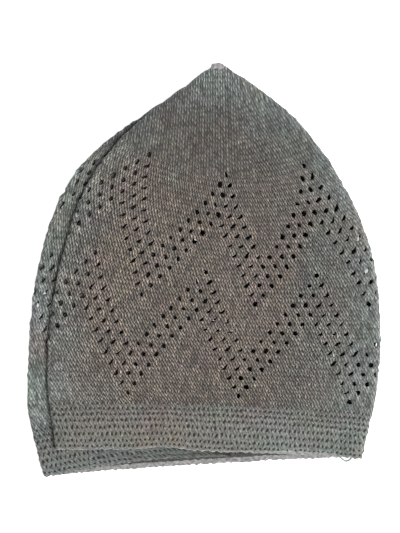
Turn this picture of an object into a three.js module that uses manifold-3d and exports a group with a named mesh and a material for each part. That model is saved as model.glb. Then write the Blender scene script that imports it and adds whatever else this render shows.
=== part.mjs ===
import * as THREE from 'three';
import { mergeVertices } from 'three/addons/utils/BufferGeometryUtils.js';
import Module from 'manifold-3d';

// A fine-gauge knitted skull cap with openwork zigzags, lying folded flat. Millimetres.
// +Y points at the cap's tip, +X to the right of the front layer, and +Z is up from the
// surface that it lies on. A course is a round of knitting: 0 at the rim, 1 at the tip.

const wasm = await Module();
wasm.setup();

// Wall and lay
const WALL = 1.6;                // knitted wall below the tip
const TIP_WALL = 1.15;           // the narrowed rounds by the tip are thinner
const TAPER_FROM = 0.7;          // course where the wall starts to thin
const LAYER_GAP = 0.5;           // air between folded layers
const FRONT_CROWN = 1.8;         // the top layer's rise between its folds
const MOUTH_LIFT = 0.25;         // keeps some of that rise at the rim, where the mouth stands open
const BACK_DROP = 6.3;           // how much lower the back layer's rim lies than the front's
const PLEAT_RISE = 7;            // how much higher the pleat's hidden layer lies at the rim
const PLEAT_RISE_FADE = 2;
const PIECE_GAP = 0.3;           // clearance between the pieces

// The lay seen from above, a row for each of 13 evenly spaced courses from the rim to the tip:
// where the four folds lie, and how far up the middle of the front layer has come. The crease
// is the front layer's left fold, and the valley is the pleat's hidden one.
const ROUNDS = [
  { left: [-80, -104], crease: [-74, -90], valley: [-8, -93], right: [79.3, -95], middle: -91.2 },
  { left: [-84.5, -87.5], crease: [-76.5, -73], valley: [-8, -77], right: [83, -78.5], middle: -73.5 },
  { left: [-87.6, -69], crease: [-78, -56], valley: [-8.5, -61], right: [86.5, -63], middle: -58.6 },
  { left: [-87.6, -49], crease: [-77.5, -38.5], valley: [-8, -45], right: [88.1, -47.5], middle: -43.7 },
  { left: [-87.1, -28.5], crease: [-76.5, -20.5], valley: [-7.5, -29.5], right: [88.8, -31], middle: -28.8 },
  { left: [-85, -8.5], crease: [-74, -2.5], valley: [-6.5, -13.5], right: [87.7, -14.5], middle: -13.9 },
  { left: [-80.5, 11.5], crease: [-69, 16], valley: [-6, 2], right: [85.6, 3], middle: 1.3 },
  { left: [-74, 31.5], crease: [-63, 34], valley: [-6, 17.5], right: [80.4, 21], middle: 16.9 },
  { left: [-63.5, 50], crease: [-53.5, 50.5], valley: [-5.5, 33.5], right: [72.4, 38.5], middle: 32.9 },
  { left: [-49, 64.5], crease: [-41.5, 65.5], valley: [-4, 50], right: [61.4, 57], middle: 49.4 },
  { left: [-31.5, 77], crease: [-27.5, 78.5], valley: [-0.5, 67], right: [47.6, 74], middle: 66.4 },
  { left: [-14, 89], crease: [-11.5, 90], valley: [4, 84], right: [31.2, 88.5], middle: 83.9 },
  { left: [3, 101.5], crease: [4, 101.5], valley: [8.6, 101], right: [11.2, 101.5], middle: 101.5 },
];

// The layers between the folds. Levels count up from the surface that the cap lies on, outward
// is the way the cap's outer face looks, bows says that its courses bow like the front's, and
// rise is how far they arch up the cap at the rim instead.
const LAYERS = [
  {
    from: 'crease', to: 'right', level: 3, outward: 1, columns: 18,
    bows: true, drop: 0, rise: 0, crown: FRONT_CROWN,
  },
  {
    from: 'right', to: 'left', level: 0, outward: -1, columns: 18,
    bows: true, drop: BACK_DROP, rise: 0, crown: 0,
  },
  {
    from: 'left', to: 'valley', level: 1, outward: 1, columns: 7,
    bows: false, drop: 0, rise: 0, crown: 0,
  },
  {
    from: 'valley', to: 'crease', level: 2, outward: -1, columns: 7,
    bows: false, drop: 0, rise: PLEAT_RISE, crown: 0,
  },
];

// A fold joins two levels, and side is where it bulges in X
const FOLDS = {
  crease: { low: 2, high: 3, side: -1, columns: 2 },
  right: { low: 0, high: 3, side: 1, columns: 3 },
  left: { low: 0, high: 1, side: -1, columns: 2 },
  valley: { low: 1, high: 2, side: 1, columns: 2 },
};

// Knitted pattern, counted in steps of half an eyelet pitch round the cap
const REPEATS = 9;               // zigzags round the cap
const REPEAT_STEPS = 18;
const ALL_STEPS = REPEATS * REPEAT_STEPS;
const FRONT_STEPS = 53.4;        // what the front layer shows at the first eyelet row
const FRONT_NARROWING = 4.6;     // steps that pass round its folds by the last row
const FRONT_START = 12.9;        // steps from the left fold to the first valley
const WALE_LEAN = 0.127;         // how the wales lean to the right, in steps a row
const LAST_ROW = 23;
const FIRST_ROW_COURSE = 0.142;
const ROW_COURSE = 0.0264;       // rise of one eyelet row
const BACK_SHARE = 0.527;        // how the steps that the front doesn't show are shared out
const THIRD_SHARE = 0.254;

// Eyelets cut through the wall
const ZIGZAG_ROWS = [0, 10];     // first row of the lower and the upper zigzag
const EYELET_ROWS = [1, 4, 7, 10];
const EYELET = 3.4;              // across
const EYELET_SIDES = 4;

// Rounds of the two knitted pieces
const BAND_TOP = 0.115;
const BAND_ROUNDS = 3;
const CROWN_ROUNDS = 15;

// A round drum stands for the unfolded cap while the eyelets are cut; then it is folded flat
const DRUM_RADIUS = 79;
const DRUM_HEIGHT = 200;
const DRUM_BELLY = 12;           // keeps the drum's faces out of one plane
const DRUM_WALL = 6;
const MERGE = 1e-4;              // points closer than this are one

// Tip knot: its outline from the base that sits on the crown to its top, and how flat it is
const KNOT_OUTLINE = [[0, 0], [3.3, 0], [3.5, 0.7], [2.9, 1.6], [1.6, 2.1], [0, 2.2]];
const KNOT_FLATNESS = 0.8;
const KNOT_PLACE = { x: 7.1, y: 101.8 };
const KNOT_SIDES = 12;

const mix = (a, b, k) => a + (b - a) * k;
const planPoint = (pair) => new THREE.Vector2(pair[0], pair[1]);

const foldLines = {};
for (const name of Object.keys(FOLDS)) {
  foldLines[name] = new THREE.SplineCurve(ROUNDS.map((round) => planPoint(round[name])));
}
const middleLine = new THREE.SplineCurve(ROUNDS.map((round, i) => planPoint([i, round.middle])));

function wallAt(course) {
  return mix(WALL, TIP_WALL, THREE.MathUtils.smoothstep(course, TAPER_FROM, 1));
}

function levelHeight(level, course) {
  const wall = wallAt(course);
  return wall / 2 + level * (wall + LAYER_GAP);
}

// The centre of a fold's round at a course, its radius and which way it bulges, in plan
function foldAt(name, course) {
  const fold = FOLDS[name];
  const radius = (levelHeight(fold.high, course) - levelHeight(fold.low, course)) / 2;
  const line = foldLines[name];
  const tangent = line.getTangent(course);
  const bulge = new THREE.Vector2(tangent.y, -tangent.x).multiplyScalar(Math.sign(tangent.y) * fold.side);
  const edge = line.getPoint(course);
  const centre = edge.clone().addScaledVector(bulge, -radius - wallAt(course) / 2);
  const middle = (levelHeight(fold.high, course) + levelHeight(fold.low, course)) / 2;
  return { centre, radius, bulge, edge, middle };
}

const bow = (k) => 4 * k * (1 - k);

// A point of a layer: along runs 0 to 1 from fold to fold, depth is out from mid-wall
function layerPoint(layer, along, course, depth) {
  const from = foldAt(layer.from, course);
  const to = foldAt(layer.to, course);
  const flat = from.centre.distanceTo(to.centre);
  const turnFrom = from.radius * Math.PI / 2;
  const turnTo = to.radius * Math.PI / 2;
  const reach = along * (turnFrom + flat + turnTo);
  const height = levelHeight(layer.level, course);
  if (reach < turnFrom) {
    return foldPoint(from, reach / turnFrom, height, depth * layer.outward);
  }
  if (reach > turnFrom + flat) {
    return foldPoint(to, 1 - (reach - turnFrom - flat) / turnTo, height, depth * layer.outward);
  }
  const k = (reach - turnFrom) / flat;
  const point = from.centre.clone().lerp(to.centre, k);
  if (layer.bows) {
    const middle = middleLine.getPoint(course).y - layer.drop * (1 - course);
    point.y += (middle - (from.edge.y + to.edge.y) / 2) * bow(k);
  }
  point.y += layer.rise * (1 - course) ** PLEAT_RISE_FADE * bow(k);
  const crown = layer.crown * Math.sin(Math.PI * mix(MOUTH_LIFT, 1, course)) * bow(k);
  return new THREE.Vector3(point.x, point.y, height + crown + depth * layer.outward);
}

// A point of a fold's quarter turn: turn runs from 0 at the crease to 1 where the layer goes flat
function foldPoint(fold, turn, height, lift) {
  const angle = turn * Math.PI / 2;
  const side = Math.sign(height - fold.middle);
  const radius = fold.radius + lift * side;
  const out = fold.bulge.clone().multiplyScalar(radius * Math.cos(angle));
  return new THREE.Vector3(fold.centre.x + out.x, fold.centre.y + out.y,
    fold.middle + side * radius * Math.sin(angle));
}

// Where each layer starts at a course, in steps round the cap, and how many steps it holds
function layerSpans(course) {
  const row = Math.max(0, (course - FIRST_ROW_COURSE) / ROW_COURSE);
  const share = row / LAST_ROW;
  const front = FRONT_STEPS - FRONT_NARROWING * share;
  const rest = ALL_STEPS - front;
  const lengths = [front, rest * BACK_SHARE, rest * THIRD_SHARE, rest * (1 - BACK_SHARE - THIRD_SHARE)];
  let start = -FRONT_START - WALE_LEAN * row * share;
  return lengths.map((steps) => {
    const span = { start, steps };
    start += steps;
    return span;
  });
}

// The folded place of a stitch, given in steps round the cap, course and depth in the wall
function foldedPoint(steps, course, depth) {
  const spans = layerSpans(course);
  const first = spans[0].start;
  const wrapped = first + THREE.MathUtils.euclideanModulo(steps - first, ALL_STEPS);
  let index = LAYERS.length - 1;
  while (wrapped < spans[index].start) {
    index -= 1;
  }
  const along = (wrapped - spans[index].start) / spans[index].steps;
  return layerPoint(LAYERS[index], along, course, depth);
}

// Columns of the drum: evenly over the flat of each layer and close together in the folds
function columnSteps(column, course) {
  const spans = layerSpans(course);
  let rest = column;
  for (const [index, layer] of LAYERS.entries()) {
    const turns = [FOLDS[layer.from].columns, FOLDS[layer.to].columns];
    const count = turns[0] + layer.columns + turns[1];
    if (rest < count) {
      const from = foldAt(layer.from, course);
      const to = foldAt(layer.to, course);
      const lengths = [from.radius * Math.PI / 2, from.centre.distanceTo(to.centre), to.radius * Math.PI / 2];
      const whole = lengths[0] + lengths[1] + lengths[2];
      let reach = 0;
      if (rest < turns[0]) {
        reach = lengths[0] * rest / turns[0];
      } else if (rest < turns[0] + layer.columns) {
        reach = lengths[0] + lengths[1] * (rest - turns[0]) / layer.columns;
      } else {
        reach = lengths[0] + lengths[1] + lengths[2] * (rest - turns[0] - layer.columns) / turns[1];
      }
      return spans[index].start + spans[index].steps * reach / whole;
    }
    rest -= count;
  }
  return spans[0].start + ALL_STEPS;
}

const COLUMNS = LAYERS.reduce((sum, layer) =>
  sum + layer.columns + FOLDS[layer.from].columns + FOLDS[layer.to].columns, 0);

function drumRadius(course) {
  return DRUM_RADIUS + DRUM_BELLY * Math.sin(Math.PI * course);
}

// A drum's wall between two courses, with its columns where the folds will need them
function drum(low, high, rounds) {
  const courses = Array.from({ length: rounds + 1 }, (_, i) => mix(low, high, i / rounds));
  const side = (depth) => courses.map((c) => new THREE.Vector2(drumRadius(c) + depth, c * DRUM_HEIGHT));
  const outer = side(DRUM_WALL / 2);
  const inner = side(-DRUM_WALL / 2).reverse();
  const profile = [...outer, ...inner, outer[0]];
  const geometry = new THREE.LatheGeometry(profile, COLUMNS);
  const place = geometry.attributes.position;
  for (let i = 0; i < place.count; i += 1) {
    const column = Math.floor(i / profile.length);
    const course = place.getY(i) / DRUM_HEIGHT;
    const radius = Math.hypot(place.getX(i), place.getZ(i));
    const angle = columnSteps(column % COLUMNS, course) / ALL_STEPS * 2 * Math.PI;
    place.setXYZ(i, radius * Math.sin(angle), place.getY(i), radius * Math.cos(angle));
  }
  return geometry;
}

function solid(geometry) {
  geometry.deleteAttribute('normal');
  geometry.deleteAttribute('uv');
  const merged = mergeVertices(geometry, MERGE);
  return new wasm.Manifold(new wasm.Mesh({
    numProp: 3,
    vertProperties: new Float32Array(merged.attributes.position.array),
    triVerts: new Uint32Array(merged.index.array),
  }));
}

function solidGeometry(body) {
  const mesh = body.getMesh();
  const geometry = new THREE.BufferGeometry();
  geometry.setAttribute('position', new THREE.Float32BufferAttribute(Array.from(mesh.vertProperties), 3));
  geometry.setIndex(Array.from(mesh.triVerts));
  return geometry;
}

// Folds a cut drum flat: each of its points keeps its place in the knitting
function fold(body) {
  const geometry = solidGeometry(body);
  const place = geometry.attributes.position;
  for (let i = 0; i < place.count; i += 1) {
    const radius = Math.hypot(place.getX(i), place.getZ(i));
    const course = place.getY(i) / DRUM_HEIGHT;
    const steps = Math.atan2(place.getX(i), place.getZ(i)) / (2 * Math.PI) * ALL_STEPS;
    const face = Math.sign(radius - drumRadius(course));
    const point = foldedPoint(steps, course, face * wallAt(course) / 2);
    place.setXYZ(i, point.x, point.y, point.z);
  }
  geometry.computeVertexNormals();
  return geometry;
}

function frontWidth(course) {
  return foldLines.crease.getPoint(course).distanceTo(foldLines.right.getPoint(course));
}

// A plug that cuts one eyelet through the drum's wall, wider where the folded cap is narrower
function eyelet(steps, row) {
  const course = FIRST_ROW_COURSE + ROW_COURSE * row;
  const width = frontWidth(course) / frontWidth(FIRST_ROW_COURSE);
  const plug = new THREE.CylinderGeometry(EYELET / 2, EYELET / 2, DRUM_WALL * 2, EYELET_SIDES);
  plug.rotateX(Math.PI / 2);
  plug.scale(1 / width, 1, 1);
  plug.translate(0, course * DRUM_HEIGHT, drumRadius(course));
  plug.rotateY(steps / ALL_STEPS * 2 * Math.PI);
  return solid(plug);
}

// The zigzags: an arm climbs each way from every valley, half a pitch to the side a row
function cutEyelets(body) {
  let cut = body;
  for (const firstRow of ZIGZAG_ROWS) {
    for (let repeat = 0; repeat < REPEATS; repeat += 1) {
      for (const row of EYELET_ROWS) {
        const reach = Math.max(0, row - 2);
        for (const side of reach > 0 ? [-1, 1] : [0]) {
          cut = cut.subtract(eyelet(repeat * REPEAT_STEPS + side * reach, firstRow + row));
        }
      }
    }
  }
  return cut;
}

function piece(name, geometry, color, roughness) {
  const mesh = new THREE.Mesh(geometry, new THREE.MeshStandardMaterial({ color, roughness, metalness: 0 }));
  mesh.name = name;
  return mesh;
}

// The knot of gathered stitches at the tip, a flattened round button
function knotGeometry() {
  const geometry = new THREE.LatheGeometry(KNOT_OUTLINE.map(planPoint), KNOT_SIDES);
  const height = KNOT_OUTLINE[2][0] * KNOT_FLATNESS;
  geometry.scale(1, 1, KNOT_FLATNESS);
  geometry.translate(KNOT_PLACE.x, KNOT_PLACE.y, height + LAYER_GAP / 2);
  return solidGeometry(solid(geometry));
}

const gapCourse = PIECE_GAP / DRUM_HEIGHT;
const band = fold(solid(drum(0, BAND_TOP - gapCourse / 2, BAND_ROUNDS)));
const crown = fold(cutEyelets(solid(drum(BAND_TOP + gapCourse / 2, 1, CROWN_ROUNDS))));

const cap = new THREE.Group();
cap.add(piece('band', band, 0x84867f, 0.95));
cap.add(piece('crown', crown, 0x7e7a72, 0.95));
cap.add(piece('tip_knot', knotGeometry(), 0xa3a49f, 0.9));

export default cap;
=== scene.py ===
# %% [markdown]
# This lesson dresses a fine-gauge knitted skull cap that lies folded flat on a table.
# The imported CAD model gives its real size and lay: two knitted walls folded over each other,
# with one deep pleat at the left. Here the same fabric gets its real eyelets, its stitches, its
# dented band, the gathered knot at the tip and one loose loop of yarn.

import math
import random

import bmesh
import bpy
import numpy as np
from mathutils import Matrix, Vector


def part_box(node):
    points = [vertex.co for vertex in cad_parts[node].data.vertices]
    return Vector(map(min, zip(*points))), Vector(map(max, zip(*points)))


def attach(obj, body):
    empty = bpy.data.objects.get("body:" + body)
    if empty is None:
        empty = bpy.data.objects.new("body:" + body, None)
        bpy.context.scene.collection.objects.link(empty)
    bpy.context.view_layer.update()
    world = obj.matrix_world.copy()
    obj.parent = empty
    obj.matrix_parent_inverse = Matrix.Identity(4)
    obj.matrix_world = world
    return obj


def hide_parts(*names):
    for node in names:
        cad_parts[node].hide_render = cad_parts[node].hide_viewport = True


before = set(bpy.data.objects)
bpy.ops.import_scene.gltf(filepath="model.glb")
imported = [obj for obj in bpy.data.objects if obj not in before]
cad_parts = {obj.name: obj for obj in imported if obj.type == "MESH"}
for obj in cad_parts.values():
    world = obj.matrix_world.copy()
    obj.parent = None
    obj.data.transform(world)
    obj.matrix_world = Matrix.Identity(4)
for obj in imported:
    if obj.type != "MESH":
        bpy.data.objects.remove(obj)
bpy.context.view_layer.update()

# %% [markdown]
# A flat-folded cap is easiest to understand as a tube of knitting. Every stitch has a place
# round the tube and a height up it, and folding only says where that place comes to lie.
# So this cell states the lay once, in millimetres, a row for each of 13 evenly spaced rounds
# from the rim to the tip, and the pieces below are all made as plain tubes and then folded.

# %% The lay of the cap
MM = 0.001

# Lengths are in mm. A course is a height up the cap, from 0 at the rim to 1 at the tip.
WALL = 1.6              # knitted wall below the tip
TIP_WALL = 1.15         # the narrowed rounds by the tip are thinner
TAPER_FROM = 0.7        # course where the wall starts to thin
LAYER_GAP = 0.5         # air between folded layers
FRONT_CROWN = 1.8       # how far the top layer rises between its folds
MOUTH_LIFT = 0.25       # keeps some of that rise at the rim, where the mouth stands open
BACK_DROP = 7.1         # how much lower the back layer's rim lies than the front's
BACK_BOW = 0.6          # below 1, so its courses run flatter in the middle than a plain arch
THIRD_RISE = 2.6        # how far the third layer's rim arches up between its folds
PLEAT_RISE = 7          # the same for the folded-back layer, which is hidden in the pleat
RISE_FADE = 2           # power with which both rises fade up the cap
COURSE_MM = 200         # height of the tube before it is folded
RIM_PUCKER = 1.7        # the front rim is pulled up here by its last stitches
PUCKER_AT = 0.355       # share of the way from the front-left fold to the right one
PUCKER_WIDTH = 0.075    # in shares too
PUCKER_COURSE = 0.05    # how far up the cap it fades
FLARE = (22, 1.3)       # how far the pleat's inner fold swings right and up at the rim
FLARE_COURSE = 0.09     # how far up the cap that reaches
FLARE_FADE = 2          # power with which that swing fades up the cap
DROOP = 4.2             # how far the front rim sinks beyond the pleat
DROOP_FROM, DROOP_TO = 0.42, 0.66       # shares of the way across where it starts and is full
DROOP_END = 0.92        # where it starts to end, before the right fold
DROOP_COURSE = 0.13     # how far up the cap it reaches
EDGE_DROOP = 1.3        # how far the front rim sinks over the pleat
EDGE_DROOP_TO = 0.5     # share of the way across where that ends
EDGE_DROOP_COURSE = 0.032               # how far up the cap it reaches

ROUND_COLUMNS = ("outer_left", "front_left", "valley", "right", "middle")
ROUNDS = [dict(zip(ROUND_COLUMNS, row)) for row in (
    ((-80, -104), (-74, -90), (-8, -93), (79.3, -95), -91.2),
    ((-84.5, -87.5), (-76.5, -73), (-8, -77), (83, -78.5), -73.5),
    ((-88.3, -69.5), (-78, -56), (-8.5, -61), (86.5, -63), -58.6),
    ((-88, -49), (-77.5, -38.5), (-8, -45), (88.1, -47.5), -43.7),
    ((-87.1, -28.5), (-76, -20.5), (-7.5, -29.5), (88.8, -31), -28.8),
    ((-85, -8.5), (-73, -2.5), (-6.5, -13.5), (87.7, -14.5), -13.9),
    ((-80.5, 11.5), (-68, 16), (-6, 2), (85.6, 3), 1.3),
    ((-74, 31.5), (-62.5, 34), (-6, 17.5), (80.4, 21), 16.9),
    ((-63.5, 50), (-53.5, 50.5), (-5.5, 33.5), (72.4, 38.5), 32.9),
    ((-49, 64.5), (-41.5, 65.5), (-4, 50), (61.4, 57), 49.4),
    ((-31.5, 77), (-27.5, 78.5), (-0.5, 67), (47.8, 74.1), 66.4),
    ((-14, 89), (-11.5, 90), (4, 84), (31.2, 88.5), 83.9),
    ((3, 101.5), (4, 101.5), (8.6, 101), (10.8, 102.3), 102.6),
)]

# A layer runs from fold to fold. Levels count up from the table, outward is the way that its
# outer face looks, bow is the power of the arch in which its courses follow the front's, with 0
# for straight ones, and rise is how far they arch up the cap at the rim instead.
LAYERS = [
    dict(start="front_left", end="right", level=3, outward=1, bow=1, drop=0, rise=0),
    dict(start="right", end="outer_left", level=0, outward=-1, bow=BACK_BOW, drop=BACK_DROP, rise=0),
    dict(start="outer_left", end="valley", level=1, outward=1, bow=0, drop=0, rise=THIRD_RISE),
    dict(start="valley", end="front_left", level=2, outward=-1, bow=0, drop=0, rise=PLEAT_RISE),
]
FRONT_LEVEL = 3
FOLDS = dict(
    front_left=dict(low=2, high=3, side=-1),
    right=dict(low=0, high=3, side=1),
    outer_left=dict(low=0, high=1, side=-1),
    valley=dict(low=1, high=2, side=1),
)
rim = ROUNDS[0]
print("the front layer is", rim["right"][0] - rim["front_left"][0], "mm wide at the rim")

# %% [markdown]
# Knitting is counted, not measured, so a place round the cap is a number of steps, each two
# wales wide. The photograph shows which eyelets stand at the front layer's folds, and that says
# how many steps lie on it. The hidden layers share the rest. Fewer steps lie on the front layer
# by the tip, and the wales lean to the right on the way up, because the cap was laid down askew.

# %% Where the stitches come round the folds
REPEATS = 9             # zigzags round the cap
REPEAT_STEPS = 18       # a step is half an eyelet pitch, which is two wales
ALL_STEPS = REPEATS * REPEAT_STEPS
FRONT_STEPS = 53.4      # on the front layer at the rim
FRONT_NARROWING = 4.6   # fewer by the last row
FRONT_START = 12.9      # steps from the front layer's left fold to the first valley, at the rim
WALE_LEAN = 0.127       # how many more there are for each row, in full at the last row
LAST_ROW = 23           # of the chart of eyelets, counted from 0
FIRST_ROW_COURSE = 0.142
ROW_COURSE = 0.0264     # courses between one row and the next
BACK_SHARE = 0.541      # how much of the rest lies on the back layer
THIRD_SHARE = 0.254     # and on the third layer


def row_at(course):
    """The chart's row at a course, which may fall between two rows."""
    return (course - FIRST_ROW_COURSE) / ROW_COURSE


def layer_spans(course):
    """The first step of each layer at a course, and how many steps it holds."""
    row = np.maximum(0, row_at(course))
    share = row / LAST_ROW
    front = FRONT_STEPS - FRONT_NARROWING * share
    rest = ALL_STEPS - front
    lengths = [front, rest * BACK_SHARE, rest * THIRD_SHARE, rest * (1 - BACK_SHARE - THIRD_SHARE)]
    starts = [-FRONT_START - WALE_LEAN * row * share]
    for length in lengths[:-1]:
        starts.append(starts[-1] + length)
    return starts, lengths


print("steps on each layer at the rim:", [round(float(n), 1) for n in layer_spans(np.array(0.0))[1]])

# %% [markdown]
# The fold lines are smooth curves through the rows of the table, and the layers lie one wall and
# a little air apart. Working on whole arrays of stitches at once keeps this fast enough for a
# fine mesh.

# %% Fold lines and levels
def smoothstep(value, low, high):
    """0 below low, 1 above high, and a smooth ramp between them."""
    k = np.clip((value - low) / (high - low), 0, 1)
    return k * k * (3 - 2 * k)


def line_at(name, course):
    """The point and slope of one of the table's lines at each course."""
    values = np.array([np.atleast_1d(row[name]) for row in ROUNDS], float)
    last = len(values) - 1
    place = np.clip(course, 0, 1) * last
    index = np.minimum(place.astype(int), last - 1)
    t = (place - index)[:, None]
    before, start, end, after = (values[np.clip(index + n, 0, last)] for n in (-1, 0, 1, 2))
    slope_start = (end - before) / 2
    slope_end = (after - start) / 2
    cubic = 2 * start - 2 * end + slope_start + slope_end
    square = 3 * (end - start) - 2 * slope_start - slope_end
    point = ((cubic * t + square) * t + slope_start) * t + start
    slope = (3 * cubic * t + 2 * square) * t + slope_start
    if name == "valley":
        near_rim = np.clip(1 - course / FLARE_COURSE, 0, 1)
        point += np.outer(near_rim ** FLARE_FADE, FLARE)
        steepness = FLARE_FADE * near_rim ** (FLARE_FADE - 1)
        slope -= np.outer(steepness / FLARE_COURSE / last, FLARE)
    return point, slope


def wall_at(course):
    """Thickness of the knitted wall, in mm."""
    return WALL + (TIP_WALL - WALL) * smoothstep(course, TAPER_FROM, 1)


def level_height(level, course):
    """Height of a level's mid-wall above the table, in mm."""
    wall = wall_at(course)
    return wall / 2 + level * (wall + LAYER_GAP)


print("mid-walls lie at", [round(float(level_height(n, 0)), 2) for n in range(len(LAYERS))], "mm")

# %% [markdown]
# A fold is a half round whose radius comes from the two levels that it joins. So a stitch lies
# either in the flat of a layer or in one of the two quarter turns at its ends, and a function for
# one layer only has to decide between these. The front layer arches a little between its folds,
# and its rim droops where nothing holds it up.

# %% Folds and layers
def fold_at(name, course):
    """Centre, radius and bulge of a fold's round, and its edge and mid-height, at each course."""
    low = level_height(FOLDS[name]["low"], course)
    high = level_height(FOLDS[name]["high"], course)
    radius = (high - low) / 2
    edge, slope = line_at(name, course)
    slope /= np.linalg.norm(slope, axis=1)[:, None]
    across = np.stack([slope[:, 1], -slope[:, 0]], axis=1)
    bulge = across * np.sign(slope[:, 1:]) * FOLDS[name]["side"]
    centre = edge - bulge * (radius + wall_at(course) / 2)[:, None]
    return dict(centre=centre, radius=radius, bulge=bulge, edge=edge, middle=(high + low) / 2)


def turn_point(fold, turn, height, lift):
    """A point of a quarter turn, from 0 at the crease to 1 where the layer lies flat."""
    angle = turn * math.pi / 2
    side = np.sign(height - fold["middle"])
    radius = fold["radius"] + lift * side
    plan = fold["centre"] + fold["bulge"] * (radius * np.cos(angle))[:, None]
    return np.column_stack([plan, fold["middle"] + side * radius * np.sin(angle)])


def front_swell(k, course, width):
    """How much higher the front layer lies than its level, k being the share of the way across."""
    arch = 4 * k * (1 - k)
    crown = FRONT_CROWN * np.sin(math.pi * (MOUTH_LIFT + (1 - MOUTH_LIFT) * course)) * arch
    past = k - FLARE[0] * np.clip(1 - course / FLARE_COURSE, 0, 1) ** FLARE_FADE / width
    past_pleat = smoothstep(past, DROOP_FROM, DROOP_TO) * (1 - smoothstep(k, DROOP_END, 1))
    droop = DROOP * past_pleat * (1 - smoothstep(course, 0, DROOP_COURSE))
    over_pleat = np.sin(math.pi * np.clip(k / EDGE_DROOP_TO, 0, 1)) ** 0.5
    edge = EDGE_DROOP * over_pleat * (1 - smoothstep(course, 0, EDGE_DROOP_COURSE))
    return crown - droop - edge


def layer_point(layer, along, course, depth):
    """A point of a layer: along runs 0 to 1 from fold to fold, depth is out from mid-wall."""
    start, end = fold_at(layer["start"], course), fold_at(layer["end"], course)
    flat = np.linalg.norm(end["centre"] - start["centre"], axis=1)
    turns = [fold["radius"] * math.pi / 2 for fold in (start, end)]
    reach = along * (turns[0] + flat + turns[1])
    height = level_height(layer["level"], course)
    k = (reach - turns[0]) / flat
    arch = 4 * k * (1 - k)
    plan = start["centre"] + (end["centre"] - start["centre"]) * k[:, None]
    if layer["bow"]:
        middle = line_at("middle", course)[0][:, 0] - layer["drop"] * (1 - course)
        bow = np.clip(arch, 0, 1) ** layer["bow"]
        plan[:, 1] += (middle - (start["edge"] + end["edge"])[:, 1] / 2) * bow
    plan[:, 1] += layer["rise"] * (1 - course) ** RISE_FADE * arch
    if layer["level"] == FRONT_LEVEL:
        pucker = np.exp(-((k - PUCKER_AT) / PUCKER_WIDTH) ** 2 - course / PUCKER_COURSE)
        plan[:, 1] += RIM_PUCKER * pucker
        height = height + front_swell(k, course, flat)
    lift = depth * layer["outward"]
    point = np.column_stack([plan, height + lift])
    in_start = reach < turns[0]
    in_end = reach > turns[0] + flat
    from_start = turn_point(start, reach / turns[0], height, lift)
    from_end = turn_point(end, 1 - (reach - turns[0] - flat) / turns[1], height, lift)
    point[in_start] = from_start[in_start]
    point[in_end] = from_end[in_end]
    return point


print("the right fold's radius is", round(float(fold_at("right", np.zeros(1))["radius"][0]), 2), "mm")

# %% [markdown]
# Real cloth never lies quite flat, so at the end the folded stack swells and drifts by smooth
# noise. It is the same for all the layers, so they can't push through each other.

# %% Fold a stitch into place
NOISE_WAVES = 9
SWELL = 0.05            # share of the height that the stack rises and sinks
SWELL_LENGTH = 42       # mm
TABLE_CLEARANCE = 0.02  # mm; what would reach below this is pressed flat
DRIFTS = [(11, 0.12, 2), (3, 0.23, 3), (11, 0.12, 4), (3, 0.23, 5)]       # mm apart, mm, seed


def soft_noise(points, length, seed):
    """Smooth noise over the plan, mostly between -1 and 1, with bumps about length mm apart."""
    pick = random.Random(seed)
    total = np.zeros(len(points))
    for wave in range(NOISE_WAVES):
        heading, phase = pick.uniform(0, 2 * math.pi), pick.uniform(0, 2 * math.pi)
        reach = 2 * math.pi / (length * pick.uniform(0.75, 1.4))
        forward = points[:, 0] * math.cos(heading) + points[:, 1] * math.sin(heading)
        total += np.cos(reach * forward + phase)
    return total / NOISE_WAVES ** 0.5


def settle(points):
    """Lets the whole stack swell and shift a little, the same for all its layers."""
    swell = 1 + SWELL * soft_noise(points, SWELL_LENGTH, 1)
    drift = [amount * soft_noise(points, length, seed) for length, amount, seed in DRIFTS]
    points[:, 0] += drift[0] + drift[1]
    points[:, 1] += drift[2] + drift[3]
    points[:, 2] = np.maximum(points[:, 2] * swell, TABLE_CLEARANCE)
    return points


def folded(steps, course, depth):
    """Folds stitches, given in steps round the cap, course and depth in mm, to points in metres."""
    starts, lengths = layer_spans(course)
    wrapped = starts[0] + np.mod(steps - starts[0], ALL_STEPS)
    points = np.zeros((len(steps), 3))
    for layer, start, length in zip(LAYERS, starts, lengths):
        here = (wrapped >= start) & (wrapped < start + length)
        along = ((wrapped - start) / length)[here]
        points[here] = layer_point(layer, along, course[here], depth[here])
    return settle(points) * MM


rim_point = folded(np.zeros(1), np.zeros(1), np.zeros(1))[0] / MM
print("the rim under the first valley lies at", [round(float(n), 1) for n in rim_point], "mm")

# %% [markdown]
# The eyelets follow a chart, as the knitter's machine did: from each valley two arms climb, four
# eyelets wide, and every eyelet stands half a pitch beside the one in the row below. The chart
# is small enough to be a rule instead of a picture, and nine repeats of it go round the cap, once
# low and once high.

# %% Chart the eyelets
ZIGZAG_ROWS = (0, 10)   # first row of the lower and the upper zigzag
ZIGZAG_HEIGHT = 13      # rows from a valley's first eyelet to the peak's last
ARM_WIDTH = 4


def zigzag():
    """Places of one repeat's eyelets, as (steps from its valley, rows above its first row)."""
    half = REPEAT_STEPS // 2
    places = []
    for row in range(ZIGZAG_HEIGHT + 1):
        for side in range(-half + 1, half + 1):
            on_grid = (side + row) % 2 == 0
            in_arm = 0 <= row - abs(side) <= ARM_WIDTH
            below_peak = ZIGZAG_HEIGHT - row >= half - abs(side)
            if on_grid and in_arm and below_peak:
                places.append((side, row))
    return places


chart = {}              # (step, row) of each eyelet, with the side of the valley it stands on
for first_row in ZIGZAG_ROWS:
    for repeat in range(REPEATS):
        for side, row in zigzag():
            chart[(repeat * REPEAT_STEPS + side) % ALL_STEPS, first_row + row] = side
print("eyelets in a repeat:", len(zigzag()), "and round the cap:", len(chart))

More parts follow.
